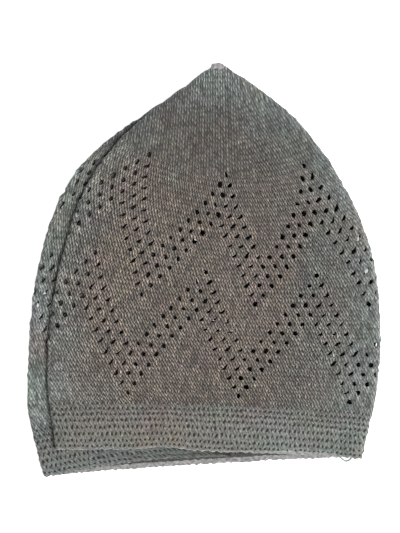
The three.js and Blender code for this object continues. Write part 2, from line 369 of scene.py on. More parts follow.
# %% [markdown]
# A circular machine knits a tube, so the tube is spun: one upright line of points turned round
# an axis gives columns that stand for wales. Its radius only matters until the tube is
# folded. The wall comes from solidify while the tube is still round, because there every
# normal simply points away from the axis and the inner wall can't cross itself.

# %% Helpers for a knitted tube
TUBE_RADIUS = 79
TUBE_WALL = 4           # while it is round; folding gives the real wall
step_angle = 2 * math.pi / ALL_STEPS


def spin_tube(rings, columns, first_step):
    """A bmesh tube in mm with a ring of faces between each two courses in rings."""
    bm = bmesh.new()
    turn = first_step * step_angle
    line = [bm.verts.new((TUBE_RADIUS * math.cos(turn), TUBE_RADIUS * math.sin(turn), ring * COURSE_MM))
            for ring in rings]
    edges = [bm.edges.new(pair) for pair in zip(line, line[1:])]
    bmesh.ops.spin(bm, geom=line + edges, cent=(0, 0, 0), axis=(0, 0, 1), angle=2 * math.pi,
                   steps=columns, use_merge=True)
    bmesh.ops.remove_doubles(bm, verts=bm.verts, dist=0.001)
    bmesh.ops.recalc_face_normals(bm, faces=bm.faces)
    return bm


def make_object(bm, name):
    """Turns a bmesh into a smooth object of the scene, and frees it."""
    mesh = bpy.data.meshes.new(name)
    bm.to_mesh(mesh)
    bm.free()
    mesh.shade_smooth()
    piece = bpy.data.objects.new(name, mesh)
    bpy.context.scene.collection.objects.link(piece)
    return piece


def stitch_place(point):
    """Steps round the cap and course of a point of the round tube."""
    return math.atan2(point.y, point.x) / step_angle, point.z / COURSE_MM


def refine_folds(bm, cuts):
    """Adds columns where the fabric turns round a fold."""
    edges = [edge for edge in bm.edges if abs(edge.verts[0].co.z - edge.verts[1].co.z) < 0.01]
    places = np.array([stitch_place((edge.verts[0].co + edge.verts[1].co) / 2) for edge in edges])
    starts, lengths = layer_spans(places[:, 1])
    near = np.zeros(len(edges), bool)
    for index, layer in enumerate(LAYERS):
        fold = fold_at(layer["start"], places[:, 1])
        centre = starts[index]
        away = np.mod(places[:, 0] - centre + ALL_STEPS / 2, ALL_STEPS) - ALL_STEPS / 2
        near |= np.abs(away) * step_mm(places[:, 1]) < fold["radius"] * math.pi / 2 + WALL / 2
    chosen = [edge for edge, here in zip(edges, near) if here]
    bmesh.ops.subdivide_edges(bm, edges=chosen, cuts=cuts, use_grid_fill=True)


def step_mm(course):
    """Width of a step on the front layer at a course, in mm."""
    left, right = line_at("front_left", course)[0], line_at("right", course)[0]
    return np.linalg.norm(right - left, axis=1) / layer_spans(course)[1][0]


print("a step turns the tube by", round(math.degrees(step_angle), 2), "degrees")

# %% [markdown]
# Once a tube has its wall, all its points are folded in one call. A UV map and attributes keep
# each point's place in the knitting, so that the finishes can follow the stitches round the folds.

# %% Fold a tube
def fold_tube(bm, name, relief, **marks):
    """Solidifies a round tube, folds it flat and returns it with its stitch map and its marks."""
    bmesh.ops.solidify(bm, geom=bm.faces, thickness=TUBE_WALL)
    piece = make_object(bm, name)
    mesh = piece.data
    places = np.zeros(len(mesh.vertices) * 3)
    mesh.vertices.foreach_get("co", places)
    places = places.reshape(-1, 3)
    radius = np.hypot(places[:, 0], places[:, 1])
    face = np.where(radius > (radius.min() + radius.max()) / 2, 1.0, -1.0)
    steps = np.arctan2(places[:, 1], places[:, 0]) / step_angle
    course = places[:, 2] / COURSE_MM
    add_stitch_uvs(mesh, steps, course)
    mesh.attributes.new("outside", "FLOAT", "POINT").data.foreach_set("value", (face + 1) / 2)
    for title, mark in marks.items():
        mesh.attributes.new(title, "FLOAT", "POINT").data.foreach_set("value", mark(steps, course))
    points = folded(steps, course, face * (wall_at(course) / 2 + relief(steps, course, face)))
    mesh.vertices.foreach_set("co", points.ravel())
    mesh.update()
    keep_ends_sharp(mesh, course)
    return piece


def keep_ends_sharp(mesh, course):
    """Marks the edges where two tubes meet, so that their shading stays flush."""
    pairs = np.zeros(len(mesh.edges) * 2, int)
    mesh.edges.foreach_get("vertices", pairs)
    at_foot = (course < course.min() + 1e-5) & (course > 0.01)
    at_end = at_foot | (course > course.max() - 1e-5)
    sharp = at_end[pairs.reshape(-1, 2)].all(axis=1)
    mesh.attributes.new("sharp_edge", "BOOLEAN", "EDGE").data.foreach_set("value", sharp)


def add_stitch_uvs(mesh, steps, course):
    """A UV map in steps round the cap and course, unbroken across the tube's seam."""
    corners = np.zeros(len(mesh.loops), int)
    mesh.loops.foreach_get("vertex_index", corners)
    totals = np.zeros(len(mesh.polygons), int)
    mesh.polygons.foreach_get("loop_total", totals)
    first = np.repeat(np.concatenate([[0], np.cumsum(totals)[:-1]]), totals)
    u = steps[corners]
    from_first = np.mod(u - u[first] + ALL_STEPS / 2, ALL_STEPS) - ALL_STEPS / 2
    layer = mesh.uv_layers.new(name="stitches")
    pairs = np.column_stack([u[first] + from_first, course[corners]])
    layer.data.foreach_set("uv", pairs.astype(np.float32).ravel())


print("the round tube is", round(2 * math.pi * TUBE_RADIUS), "mm round")

# %% [markdown]
# The crown is one fabric from the band to the tip. Its columns are a wale wide and stand so that
# every eyelet of the chart falls on one face.

# %% Knit the crown
random.seed(7)

BAND_TOP = 0.115        # course where the band ends and the crown starts
ROW_SPLITS = 3          # rings of faces for each row of the chart
COLUMNS = 2 * ALL_STEPS
FIRST_COLUMN = 0.25     # steps, so that a whole step falls in the middle of a face

crown_rings = [BAND_TOP]
ring_course = ROW_COURSE / ROW_SPLITS
first_ring = FIRST_ROW_COURSE - 1.5 * ring_course
crown_rings += [float(ring) for ring in np.arange(first_ring, 1 - ring_course / 2, ring_course)]
crown_rings.append(1.0)
crown_bm = spin_tube(crown_rings, COLUMNS, FIRST_COLUMN)
print("crown tube:", len(crown_bm.faces), "faces")

# %% [markdown]
# Each of those faces is taken out, and its four corners and four new midpoints move on to a small
# slanted oval. Arms that climb to the right open nearly round, and arms that climb to the left
# are pulled into narrow slits.

# %% Open the eyelets
# Half length and half width in mm and tilt in degrees, by arm. Tear makes one end narrower, and
# smile bends the oval.
OVALS = {1: dict(long=1.48, short=1.02, tilt=-52, tear=0.22, smile=0),
         -1: dict(long=2.05, short=0.72, tilt=38, tear=-0.1, smile=0.5)}
EDGE_RANGE = (0.92, 1.1)        # how uneven an oval's edge is
ROW_MM = 4.9            # height of a chart row
EYELET_ROOM = 0.1       # steps and rows that a face's middle may lie off the chart's place
SLACK = 0.55            # the middle of the back layer is less stretched, so its eyelets are smaller
SLACK_FROM, SLACK_TO = 0.14, 0.86       # shares of the way across


def eyelet_faces(bm):
    """The faces that stand on the chart's places."""
    faces = []
    for face in bm.faces:
        steps, course = stitch_place(face.calc_center_median())
        row = row_at(course)
        on_chart = (round(steps) % ALL_STEPS, round(row)) in chart
        if on_chart and max(abs(steps - round(steps)), abs(row - round(row))) < EYELET_ROOM:
            faces.append(face)
    return faces


def round_eyelet(vert, ovals):
    """Moves a point of a hole's edge on to its slanted, slightly bent oval."""
    steps, course = stitch_place(vert.co)
    middle_step, middle_row = round(steps), round(row_at(course))
    width = float(step_mm(np.array([course]))[0])
    angle = math.atan2((row_at(course) - middle_row) * ROW_MM, (steps - middle_step) * width)
    oval = ovals[middle_step % ALL_STEPS, middle_row]
    a, b, tilt = oval["long"], oval["short"], oval["tilt"]
    lean = angle - tilt
    reach = a * b / math.hypot(b * math.cos(lean), a * math.sin(lean)) * random.uniform(*EDGE_RANGE)
    reach *= 1 - oval["tear"] * math.cos(lean)
    bend = oval["smile"] * (reach * math.cos(lean) / a) ** 2
    turn = (middle_step + (reach * math.cos(angle) - bend * math.sin(tilt)) / width) * step_angle
    row = middle_row + (reach * math.sin(angle) + bend * math.cos(tilt)) / ROW_MM
    vert.co = (TUBE_RADIUS * math.cos(turn), TUBE_RADIUS * math.sin(turn),
               (FIRST_ROW_COURSE + ROW_COURSE * row) * COURSE_MM)


def knitting_order(vert):
    """Row by row and round the cap, so that each run draws the same random numbers."""
    steps, course = stitch_place(vert.co)
    return round(row_at(course) * 6), round(steps % ALL_STEPS * 4) % (4 * ALL_STEPS)


def size_at(step, row):
    """How large an eyelet is beside one in the front layer."""
    starts, lengths = layer_spans(FIRST_ROW_COURSE + ROW_COURSE * row)
    share = (step - starts[1]) % ALL_STEPS / lengths[1]
    return SLACK if SLACK_FROM < share < SLACK_TO else 1


print("ovals in mm, by arm:", {arm: (oval["long"], oval["short"]) for arm, oval in OVALS.items()})

# %% Take the faces out and round the holes
LONG_RANGE = (0.8, 1.1)         # how much the ovals differ in length
SHORT_RANGE = (0.8, 1.12)       # and in width
TILT_RANGE = (-14, 14)          # and in tilt, in degrees

eyelet_ovals = {}
for place in sorted(chart):
    oval = dict(OVALS[1 if chart[place] >= 0 else -1])
    oval["long"] *= random.uniform(*LONG_RANGE) * size_at(*place)
    oval["short"] *= random.uniform(*SHORT_RANGE) * size_at(*place)
    oval["tilt"] = math.radians(oval["tilt"] + random.uniform(*TILT_RANGE))
    eyelet_ovals[place] = oval

holes = eyelet_faces(crown_bm)
print("faces taken out for eyelets:", len(holes))
hole_edges = list(dict.fromkeys(edge for face in holes for edge in face.edges))     # in a fixed order
bmesh.ops.delete(crown_bm, geom=holes, context="FACES_ONLY")
bmesh.ops.subdivide_edges(crown_bm, edges=hole_edges, cuts=1)
foot, head = crown_rings[0] * COURSE_MM, crown_rings[-1] * COURSE_MM
rims = [vert for vert in crown_bm.verts if vert.is_boundary and foot + 0.01 < vert.co.z < head - 0.01]
for vert in sorted(rims, key=knitting_order):
    round_eyelet(vert, eyelet_ovals)

# %% [markdown]
# Beside each eyelet two stitches share a loop, which makes a small lump on the outside, and the
# wall thins to a lip at the hole's edge. Both are worked out from the distance to the nearest
# eyelet. Where two layers lie face to face inside the pleat, the lumps are pressed flat.

# %% Raise the lumps and fold the crown
FOLD_CUTS = 2           # columns added inside each one that turns round a fold
refine_folds(crown_bm, FOLD_CUTS)

eyelet_map = np.zeros((LAST_ROW + 2, ALL_STEPS), int)
for (step, row), side in chart.items():
    eyelet_map[row, step] = 1 if side >= 0 else -1

# Where a lump stands beside its eyelet, in steps and rows, by arm
LUMPS = {1: dict(right=0.1, below=0.36), -1: dict(right=0.62, below=0.08)}
LIP = 0.5               # how much of the wall is left at an eyelet's edge
LUMP_HEIGHT = 0.6
LUMP_PRESS = 0.8        # how much lower they are pressed inside the pleat
LUMP_RADIUS = 1.4
PLEAT_FROM = (0.1, 0.16)        # shares of the way round the pleat's two inner layers
PLEAT_TO = (0.97, 1)
LIP_REACH = (0.9, 1.9)          # mm from an eyelet's middle over which the wall gets its thickness
FAR = 9.0                       # mm, further than any of these reach


def eyelet_distance(steps, row, arms=(1, -1)):
    """Millimetres to the nearest eyelet of those arms, or FAR where none is near."""
    near_step = np.round(steps)
    near_row = np.clip(np.round(row), 0, LAST_ROW + 1).astype(int)
    here = np.isin(eyelet_map[near_row, np.mod(near_step, ALL_STEPS).astype(int)], arms)
    course = FIRST_ROW_COURSE + ROW_COURSE * row
    away = np.hypot((steps - near_step) * step_mm(course), (row - near_row) * ROW_MM)
    return np.where(here, away, FAR)


def lumps(steps, course):
    """How much of a lump there is, from 0 to 1, where two stitches share a loop."""
    amount = np.zeros(len(steps))
    for arm, lump in LUMPS.items():
        away = eyelet_distance(steps - lump["right"], row_at(course) + lump["below"], (arm,))
        amount += np.exp(-(away / LUMP_RADIUS) ** 2)
    return amount


def in_pleat(steps, course):
    """1 on the two layers that lie face to face inside the pleat, and 0 where the fabric shows."""
    starts, lengths = layer_spans(course)
    share = np.mod(steps - starts[2], ALL_STEPS) / (lengths[2] + lengths[3])
    return smoothstep(share, *PLEAT_FROM) * (1 - smoothstep(share, *PLEAT_TO))


def crown_relief(steps, course, face):
    """Extra depth in mm: thin lips round the eyelets and the lumps beside them."""
    lip = 1 - smoothstep(eyelet_distance(steps, row_at(course)), *LIP_REACH)
    height = LUMP_HEIGHT * (1 - LUMP_PRESS * in_pleat(steps, course))
    return height * lumps(steps, course) * (face > 0) - lip * (1 - LIP) * wall_at(course) / 2


crown = fold_tube(crown_bm, "knit_crown", crown_relief, lump=lumps)
print("knit_crown:", len(crown.data.vertices), "points")
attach(crown, "root")
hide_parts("crown")

# %% [markdown]
# The band is knitted in a tighter tuck stitch that leaves rows of small dents, each row half a
# pitch beside the one below. Dents this large are worth modelling: the columns and
# rings are spaced so that a dent's middle falls on a point, which is then pressed in. The band
# is a piece of its own here, and its top edge runs up inside the crown's wall to hide the seam.

# %% Knit the band
DENTS = 208             # round the cap
DENT_ROWS = 8
DENT_DEPTH = 0.35
DENT_LEAN = 11          # steps that a column of dents moves round the cap for each course unit up
DENT_ROUND = 0.45       # how round the dents are, from 0 for upright slots
DENT_COLUMNS = 3        # columns of faces for each dent
DENTS_END = 0.95        # share of the band's height above which the dents fade
RIM_ROUND = 0.9         # mm of fabric over which the rim's edge is rounded
BAND_MM = 21            # height of the band
TUCK_IN = 0.5           # mm of the band that runs up inside the crown's wall
TUCK_THIN = 0.05        # how much thinner it is there

edge_rings = [0, 0.12, 0.4, RIM_ROUND]         # mm up from the rim
band_rings = [mm / BAND_MM * BAND_TOP for mm in edge_rings]
dent_rings = np.linspace(band_rings[-1], BAND_TOP, DENT_ROWS * 3 + 1)[1:]
band_rings += [float(ring) for ring in dent_rings]
band_rings.append(BAND_TOP * (1 + TUCK_IN / BAND_MM))


def dents(steps, course):
    """1 in the middle of a dent and below 0 between dents."""
    across = np.cos(2 * math.pi * DENTS * (steps - DENT_LEAN * course) / ALL_STEPS)
    up = np.cos(math.pi * DENT_ROWS * course / BAND_TOP)
    return (across * up + DENT_ROUND * (2 * up ** 2 - 1)) / (1 + DENT_ROUND)


def band_relief(steps, course, face):
    """Extra depth in mm: the dents on the outside and the rounded edge of the rim."""
    pressed = np.clip(dents(steps, course), 0, 1) * DENT_DEPTH * (face > 0)
    pressed *= 1 - smoothstep(course, BAND_TOP * DENTS_END, BAND_TOP)
    k = np.clip(course / BAND_TOP * BAND_MM / RIM_ROUND, 0, 1)
    rounding = (1 - np.sqrt(1 - (1 - k) ** 2)) * wall_at(course) / 2
    tucked = np.where(course > BAND_TOP * 1.001, TUCK_THIN, 0)
    return -np.maximum(np.maximum(pressed, rounding), tucked)


band = fold_tube(spin_tube(band_rings, DENT_COLUMNS * DENTS, 0), "knit_band", band_relief)
print("knit_band:", len(band.data.vertices), "points")
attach(band, "root")
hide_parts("band")

# %% [markdown]
# At the tip the last stitches are gathered on a thread and pulled tight. That leaves a small
# flattened nub with soft ribs, which is spun from a profile and then given the profile's own
# width and depth at each height, pleated by moving each point in and out round the axis. Its
# lower end runs down inside the crown, so that no gap shows under it. Moving points leaves a
# bmesh's normals out of date, so they are brought up to date before they are turned outwards.

# %% Gather the tip
KNOT_RIBS = 11
KNOT_RIB_DEPTH = 0.09   # share of the radius
KNOT_SIDES = 88
KNOT_SQUARE = 0.65      # below 1, so its section is squarer than an ellipse
KNOT_SHIFT = 0.05       # mm to the right of the CAD knot's middle
KNOT_SINK = 0.2         # mm below the CAD knot's top
KNOT_LEVEL = 3.25       # mm above the table
KNOT_COLUMNS = ("up", "width", "depth")         # all in mm, the last two from its middle
KNOT_PROFILE = [dict(zip(KNOT_COLUMNS, row)) for row in (
    (-6.3, 0, 0), (-6.2, 3.2, 1.5), (-5.2, 3.6, 2), (-4.2, 3.9, 2.5), (-3.4, 4, 2.85), (-2.7, 3.8, 3.05),
    (-2.2, 3.7, 3.05), (-1.8, 3.45, 3), (-1.4, 3.2, 2.8), (-1, 2.95, 2.6), (-0.7, 2.65, 2.3),
    (-0.4, 1.9, 1.7), (-0.12, 0.9, 0.8), (0, 0, 0),
)]

knot_low, knot_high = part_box("tip_knot")
knot_x = (knot_low.x + knot_high.x) / 2 / MM + KNOT_SHIFT
knot_top = knot_high.y / MM - KNOT_SINK
knot_bm = bmesh.new()
profile = [knot_bm.verts.new((1 if row["width"] else 0, 0, index))
           for index, row in enumerate(KNOT_PROFILE)]
profile_edges = [knot_bm.edges.new(pair) for pair in zip(profile, profile[1:])]
bmesh.ops.spin(knot_bm, geom=profile + profile_edges, cent=(0, 0, 0), axis=(0, 0, 1),
               angle=2 * math.pi, steps=KNOT_SIDES, use_merge=True)
bmesh.ops.remove_doubles(knot_bm, verts=knot_bm.verts, dist=0.0001)
for vert in knot_bm.verts:
    row = KNOT_PROFILE[round(vert.co.z)]
    angle = math.atan2(vert.co.y, vert.co.x)
    pleat = 1 - KNOT_RIB_DEPTH * (0.5 + 0.5 * math.cos(KNOT_RIBS * angle))
    across, down = (math.copysign(abs(n) ** KNOT_SQUARE, n) for n in (math.cos(angle), math.sin(angle)))
    point = (knot_x + row["width"] * pleat * across, knot_top + row["up"],
             KNOT_LEVEL - row["depth"] * pleat * down)
    vert.co = settle(np.array([point]))[0] * MM
knot_bm.normal_update()
bmesh.ops.recalc_face_normals(knot_bm, faces=knot_bm.faces)
knot = make_object(knot_bm, "gathered_tip")
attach(knot, "root")
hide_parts("tip_knot")
print("gathered_tip:", len(knot.data.polygons), "faces")

# %% [markdown]
# At the right corner one loop of yarn has slipped out of the hem. It is two plies twisted
# together, so each ply is a thin tube that winds round a short smooth path on the table. A tube
# is a row of circles, each joined to the one before with bridge_loops.

# %% Pull one loop of yarn loose
# In mm across, up the cap and above the table
LOOP_PATH = [(65.8, -92.0, 0.9), (67.6, -93.3, 0.75), (69.6, -94.8, 0.6), (71.3, -95.9, 0.56),
             (72.5, -95.8, 0.56), (73.8, -95.0, 0.6), (74.6, -93.8, 0.75), (75.0, -92.2, 0.9)]
PLY_RADIUS = 0.27       # mm
PLY_TURNS = 9
PLY_SIDES = 7
PLY_RINGS = 90
LOOK_AHEAD = 0.01       # share of the path over which its direction is read


def path_point(path, t):
    """A point on the smooth curve through a path, with t from 0 to 1."""
    last = len(path) - 1
    index = min(int(t * last), last - 1)
    k = t * last - index
    before, start, end, after = (Vector(path[min(max(index + n, 0), last)]) for n in (-1, 0, 1, 2))
    square = 2 * before - 5 * start + 4 * end - after
    cubic = 3 * start - before - 3 * end + after
    return start + ((end - before) * k + (square * k * k + cubic * k ** 3)) / 2


loop_bm = bmesh.new()
for ply in range(2):
    previous = None
    for i in range(PLY_RINGS + 1):
        t = i / PLY_RINGS
        ahead = path_point(LOOP_PATH, min(1, t + LOOK_AHEAD))
        behind = path_point(LOOP_PATH, max(0, t - LOOK_AHEAD))
        forward = (ahead - behind).normalized()
        side = forward.cross(Vector((0, 0, 1))).normalized()
        up = side.cross(forward)
        wind = 2 * math.pi * PLY_TURNS * t + math.pi * ply
        centre = path_point(LOOP_PATH, t) + PLY_RADIUS * (side * math.cos(wind) + up * math.sin(wind))
        stand = Matrix.Translation(centre * MM) @ Matrix((side, up, forward)).transposed().to_4x4()
        circle = bmesh.ops.create_circle(loop_bm, segments=PLY_SIDES, radius=PLY_RADIUS * MM, matrix=stand)
        ring = list(dict.fromkeys(edge for vert in circle["verts"] for edge in vert.link_edges))
        if previous:
            bmesh.ops.bridge_loops(loop_bm, edges=previous + ring)
        previous = ring
bmesh.ops.holes_fill(loop_bm, edges=[edge for edge in loop_bm.edges if edge.is_boundary], sides=PLY_SIDES)
bmesh.ops.recalc_face_normals(loop_bm, faces=loop_bm.faces)
loop = make_object(loop_bm, "loose_yarn_loop")
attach(loop, "root")
print("loose_yarn_loop:", len(loop.data.polygons), "faces")

# %% [markdown]
# Now the finishes. One helper adds a node with its settings and links and returns an output, and
# everything else is arithmetic on the fabric's own stitch map. Colours are the sRGB values that
# an eye would match to the yarn, turned to linear ones.

# %% Helpers for materials
def linear(hex_colour):
    """An sRGB hex colour as the linear values that Blender's sockets want."""
    parts = [int(hex_colour[i:i + 2], 16) / 255 for i in (1, 3, 5)]
    return [c / 12.92 if c <= 0.04045 else ((c + 0.055) / 1.055) ** 2.4 for c in parts] + [1.0]


def add_node(tree, kind, inputs=(), out=0, **settings):
    """Adds a node and returns one of its outputs. Inputs are values or other nodes' outputs."""
    node = tree.nodes.new(kind)
    for name, value in settings.items():
        setattr(node, name, value)
    for socket, value in inputs.items() if isinstance(inputs, dict) else enumerate(inputs):
        if isinstance(value, bpy.types.NodeSocket):
            tree.links.new(value, node.inputs[socket])
        else:
            node.inputs[socket].default_value = value
    return node.outputs[out] if node.outputs else None


def new_material(name):
    """A material with an empty node tree, and that tree."""
    material = bpy.data.materials.new(name)
    material.use_nodes = True
    tree = material.node_tree
    tree.nodes.clear()
    return material, tree


MATH = "ShaderNodeMath"
RANGE = "ShaderNodeMapRange"
print("sRGB #808080 is linear", round(linear("#808080")[0], 3))

# %% [markdown]
# Mélange yarn is spun from fibres that were dyed before spinning, pale and dark ones together, so
# it shows a fine grain inside each stitch, a different shade in each stitch, and soft clouds of
# greenish and pinkish grey. One colour with noise over it would look even all over. The warm grey
# in the cap's middle and the cool grey towards its edges are painted light, so the tint mixes a
# warm and a cool grey by how far a place is from the middle of the cap.

# %% Mélange cotton yarn
# Painted light: the yarn's grey as warm light in the cap's middle and cool light at its edges show it
YARN_WARM_PAINTED_LIGHT = "#786d63"
YARN_COOL_PAINTED_LIGHT = "#747a76"
TINT_MIDDLE = (-0.002, -0.014, 0)       # where the tint is warmest, in metres
TINT_REACH = (0.088, 0.104)     # metres from there, sideways and up, to about the cap's edges
PAINTED_TINT_CHANGE = (1.02, 1.45)      # distances, with a cloud's push, between which the painted light turns cool
WIDE_CLOUDS = 30.0              # a metre, about 33 mm each
CLOUD_SHARE = 0.9               # how hard these clouds push
HUE_SCALE = 75.0                # clouds of hue a metre, about 13 mm each
HUE_CLOUDS = 0.11               # how strong they are
WOBBLE_SCALE = 260.0            # a metre, about two and a half stitches
# A cotton fibre is 0.02 mm wide, far too fine to show, so the grain is drawn 1.4 mm coarse.
FIBRE_SCALE = 700.0             # grains a metre
FIBRE_RANGE = (2.4, -0.2)       # how much the grain is stretched, and what is added


def knit_map(tree):
    """Place, steps, course, a wobble that unsettles the rows, and whether a point is outside."""
    place = add_node(tree, "ShaderNodeTexCoord", out="Object")
    stitches = add_node(tree, "ShaderNodeUVMap", uv_map="stitches")
    steps = add_node(tree, "ShaderNodeSeparateXYZ", [stitches], "X")
    course = add_node(tree, "ShaderNodeSeparateXYZ", [stitches], "Y")
    noise = add_node(tree, "ShaderNodeTexNoise", {"Vector": place, "Scale": WOBBLE_SCALE, "Detail": 2.0})
    wobble = add_node(tree, MATH, [noise, 0.5], operation="SUBTRACT")
    outside = add_node(tree, "ShaderNodeAttribute", out="Fac", attribute_name="outside")
    return place, steps, course, wobble, outside


def middle_distance(tree, place):
    """How far a place is from the middle of the cap, 1 being about its edge."""
    scale = (1 / TINT_REACH[0], 1 / TINT_REACH[1], 0)
    reach = add_node(tree, "ShaderNodeVectorMath", [place, TINT_MIDDLE], operation="SUBTRACT")
    reach = add_node(tree, "ShaderNodeVectorMath", [reach, scale], operation="MULTIPLY")
    return add_node(tree, "ShaderNodeVectorMath", [reach], "Value", operation="LENGTH")


def mottle_and_painted_light_tint(tree, place, away):
    """Painted light: warm grey in the middle of the cap, cool grey at its edges, with clouds of both and
    of hue.
    """
    cloud = add_node(tree, "ShaderNodeTexNoise", {"Vector": place, "Scale": WIDE_CLOUDS, "Detail": 4.0})
    blurred = add_node(tree, MATH, [cloud, CLOUD_SHARE, away], operation="MULTIPLY_ADD")
    amount = add_node(tree, RANGE, {
        "Value": blurred, "From Min": PAINTED_TINT_CHANGE[0], "From Max": PAINTED_TINT_CHANGE[1]})
    base = add_node(tree, "ShaderNodeMix", {
        "Factor": amount, "A": linear(YARN_WARM_PAINTED_LIGHT), "B": linear(YARN_COOL_PAINTED_LIGHT)}, "Result", data_type="RGBA")
    hues = add_node(tree, "ShaderNodeTexNoise", {
        "Vector": place, "Scale": HUE_SCALE, "Detail": 3.0}, "Color")
    return add_node(tree, "ShaderNodeMix", {"Factor": HUE_CLOUDS, "A": base, "B": hues}, "Result",
                    data_type="RGBA", blend_type="OVERLAY")


def yarn_grain(tree, place):
    """How pale the fibres are, about 1 on average."""
    fine = add_node(tree, "ShaderNodeTexNoise", {"Vector": place, "Scale": FIBRE_SCALE, "Detail": 2.0})
    return add_node(tree, MATH, [fine, *FIBRE_RANGE], operation="MULTIPLY_ADD")


print("warm yarn, linear:", [round(part, 3) for part in linear(YARN_WARM_PAINTED_LIGHT)[:3]])

# %% [markdown]
# Both knits and the loose strands end in the same surface. Spun cotton is matt, with a faint
# sheen from the fibre ends that stand off the yarn, and light hardly reaches between stitches.

# %% The yarn's surface
YARN_GAP = "#0c0a08"            # the shade between stitches
BUMP_DEPTH = 0.0005             # metres, about half a yarn
GAP_ROUGHNESS = 1.0
YARN_ROUGHNESS = 0.82           # spun cotton is matt
FUZZ = 0.2                      # sheen of the fibre ends that stand off the yarn
FUZZ_ROUGHNESS = 0.5


def finish_knit(tree, tint, light, height, strength):
    """The yarn's surface: light mixes gap to yarn, and height gives the bump and the fuzz."""
    shade = add_node(tree, "ShaderNodeMix", {
        "Factor": light, "A": linear(YARN_GAP), "B": tint}, "Result", data_type="RGBA", clamp_factor=False)
    normal = add_node(tree, "ShaderNodeBump", {
        "Height": height, "Strength": strength, "Distance": BUMP_DEPTH})
    rough = add_node(tree, RANGE, {"Value": height, "To Min": GAP_ROUGHNESS, "To Max": YARN_ROUGHNESS})
    surface = add_node(tree, "ShaderNodeBsdfPrincipled", {
        "Base Color": shade, "Roughness": rough, "Sheen Weight": FUZZ,
        "Sheen Roughness": FUZZ_ROUGHNESS, "Normal": normal})
    add_node(tree, "ShaderNodeOutputMaterial", {"Surface": surface})


print("the bump is", BUMP_DEPTH / MM, "mm deep")

# %% [markdown]
# Plain knitting shows columns of small V shapes. With u counting wales and v counting courses,
# the distance across a wale added to v bends level stripes into those Vs. A tightly twisted yarn
# leans its stitches, so one leg of each V is broad and the other narrow, and from a
# distance the broad legs read as fine slanting strokes.

# %% The Vs of plain knitting
COURSES = 82            # rounds of stitches from rim to tip, 2.4 mm each
LEG_SHARE = 0.72        # how much of a wale its broad leg takes
LEG_RISE = 0.88         # rounds that a leg climbs
GROOVE = 0.45           # how much darker the edges of a wale are
WOBBLE = 0.5            # how unsettled the stitches are
STRAND_WAVE = (-0.75, 0.55)     # where a round's wave counts as gap and as full yarn
TOP_STROKES = 0.38      # how pale the gaps between one dash and the next are, near the tip
TOP_GROOVE = 0.95       # the groove between columns there


def stitch_legs(tree, wales, course, wobble, top):
    """How high the yarn of the Vs stands, from 0 in the gaps to 1, and each leg's own number."""
    sway = add_node(tree, MATH, [wobble, WOBBLE], operation="MULTIPLY")
    u = add_node(tree, MATH, [sway, wales], operation="ADD")
    column = add_node(tree, MATH, [u], operation="FLOOR")
    start = add_node(tree, "ShaderNodeTexWhiteNoise", {"W": column}, "Value", noise_dimensions="1D")
    sway = add_node(tree, MATH, [start, top, sway], operation="MULTIPLY_ADD")
    v = add_node(tree, MATH, [course, float(COURSES), sway], operation="MULTIPLY_ADD")
    across = add_node(tree, MATH, [u], operation="FRACT")
    broad = add_node(tree, MATH, [across, LEG_SHARE], operation="DIVIDE")
    rest = add_node(tree, MATH, [1.0, across], operation="SUBTRACT")
    narrow = add_node(tree, MATH, [rest, 1 - LEG_SHARE], operation="DIVIDE")
    bend = add_node(tree, MATH, [broad, narrow], operation="MINIMUM")
    along = add_node(tree, MATH, [bend, LEG_RISE, v], operation="MULTIPLY_ADD")
    turn = add_node(tree, MATH, [along, 2 * math.pi], operation="MULTIPLY")
    wave = add_node(tree, MATH, [turn], operation="COSINE")
    valley = add_node(tree, MATH, [top, TOP_STROKES], operation="MULTIPLY")
    strand = add_node(tree, RANGE, {
        "Value": wave, "From Min": STRAND_WAVE[0], "From Max": STRAND_WAVE[1], "To Min": valley})
    edge = add_node(tree, RANGE, {"Value": top, "To Min": 1 - GROOVE, "To Max": 1 - TOP_GROOVE})
    groove = add_node(tree, RANGE, {"Value": bend, "From Max": 0.5, "To Min": edge})
    height = add_node(tree, MATH, [strand, groove], operation="MULTIPLY")
    row = add_node(tree, MATH, [along], operation="FLOOR")
    return height, add_node(tree, "ShaderNodeCombineXYZ", [column, row])


print("a round of stitches is", round(COURSE_MM / COURSES, 2), "mm high")

# %% [markdown]
# A tuck stitch holds its loop over several rounds and leaves a dent that lies in shade. The wave
# that pressed the dents into the band's mesh also says where they are dark. Its edges are
# unsettled, because no two dents are alike.

# %% The shade in the dents
DENT_SWAY = (4.0, 2.0)  # how far the wobble moves a dent sideways and up, in radians of the wave
DENT_EDGE = (1.2, 0.15)         # how far it moves a dent's edge, and the wave's height there
DENT_FULL = 1.05                # the wave's height where a dent is fully dark


def dark_dents(tree, steps, course, wobble):
    """1 in the middle of each tuck dent and 0 on the net of yarn between them."""
    lean = add_node(tree, MATH, [course, -float(DENT_LEAN), steps], operation="MULTIPLY_ADD")
    sway = add_node(tree, MATH, [wobble, DENT_SWAY[0]], operation="MULTIPLY")
    turn = add_node(tree, MATH, [lean, 2 * math.pi * DENTS / ALL_STEPS, sway], operation="MULTIPLY_ADD")
    sway = add_node(tree, MATH, [wobble, DENT_SWAY[1]], operation="MULTIPLY")
    rise = add_node(tree, MATH, [course, math.pi * DENT_ROWS / BAND_TOP, sway], operation="MULTIPLY_ADD")
    across = add_node(tree, MATH, [turn], operation="COSINE")
    up = add_node(tree, MATH, [rise], operation="COSINE")
    twice = add_node(tree, MATH, [rise, 2.0], operation="MULTIPLY")
    rows = add_node(tree, MATH, [twice], operation="COSINE")
    rows = add_node(tree, MATH, [rows, DENT_ROUND], operation="MULTIPLY")
    net = add_node(tree, MATH, [across, up, rows], operation="MULTIPLY_ADD")
    edge = add_node(tree, MATH, [wobble, *DENT_EDGE], operation="MULTIPLY_ADD")
    return add_node(tree, RANGE, {"Value": net, "From Min": edge, "From Max": DENT_FULL})


print("dents round the band:", DENTS)
